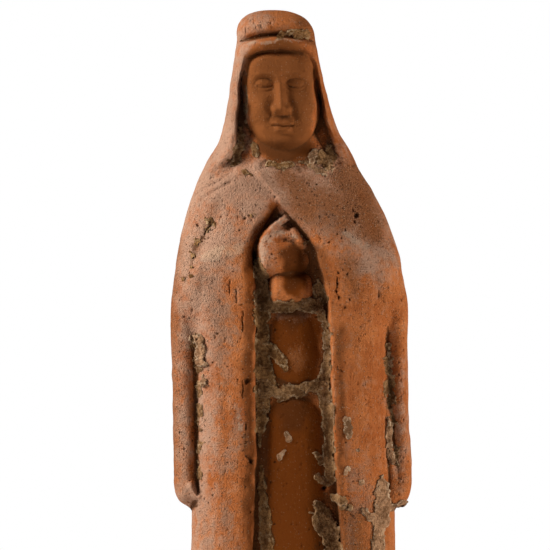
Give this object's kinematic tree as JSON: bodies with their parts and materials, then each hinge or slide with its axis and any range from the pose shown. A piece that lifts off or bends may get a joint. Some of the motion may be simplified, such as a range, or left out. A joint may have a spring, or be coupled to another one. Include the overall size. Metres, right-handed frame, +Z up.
{
  "type": "terracotta attendant figure",
  "caption": "Standing hooded attendant in a long cloak, hands held together before the body, press-moulded in terracotta on a low base.",
  "frame": {"origin": "centre of the low base's flat underside", "axes": "+Z up through the head, the front of the figure faces -Y, +X to the viewer's right"},
  "size_m": [0.078, 0.054, 0.25],
  "materials": {
    "terracotta": "matt low-fired red clay with burial earth in the folds"
  },
  "bodies": {
    "root": {"attendant_figure": "terracotta"}
  },
  "joints": []
}
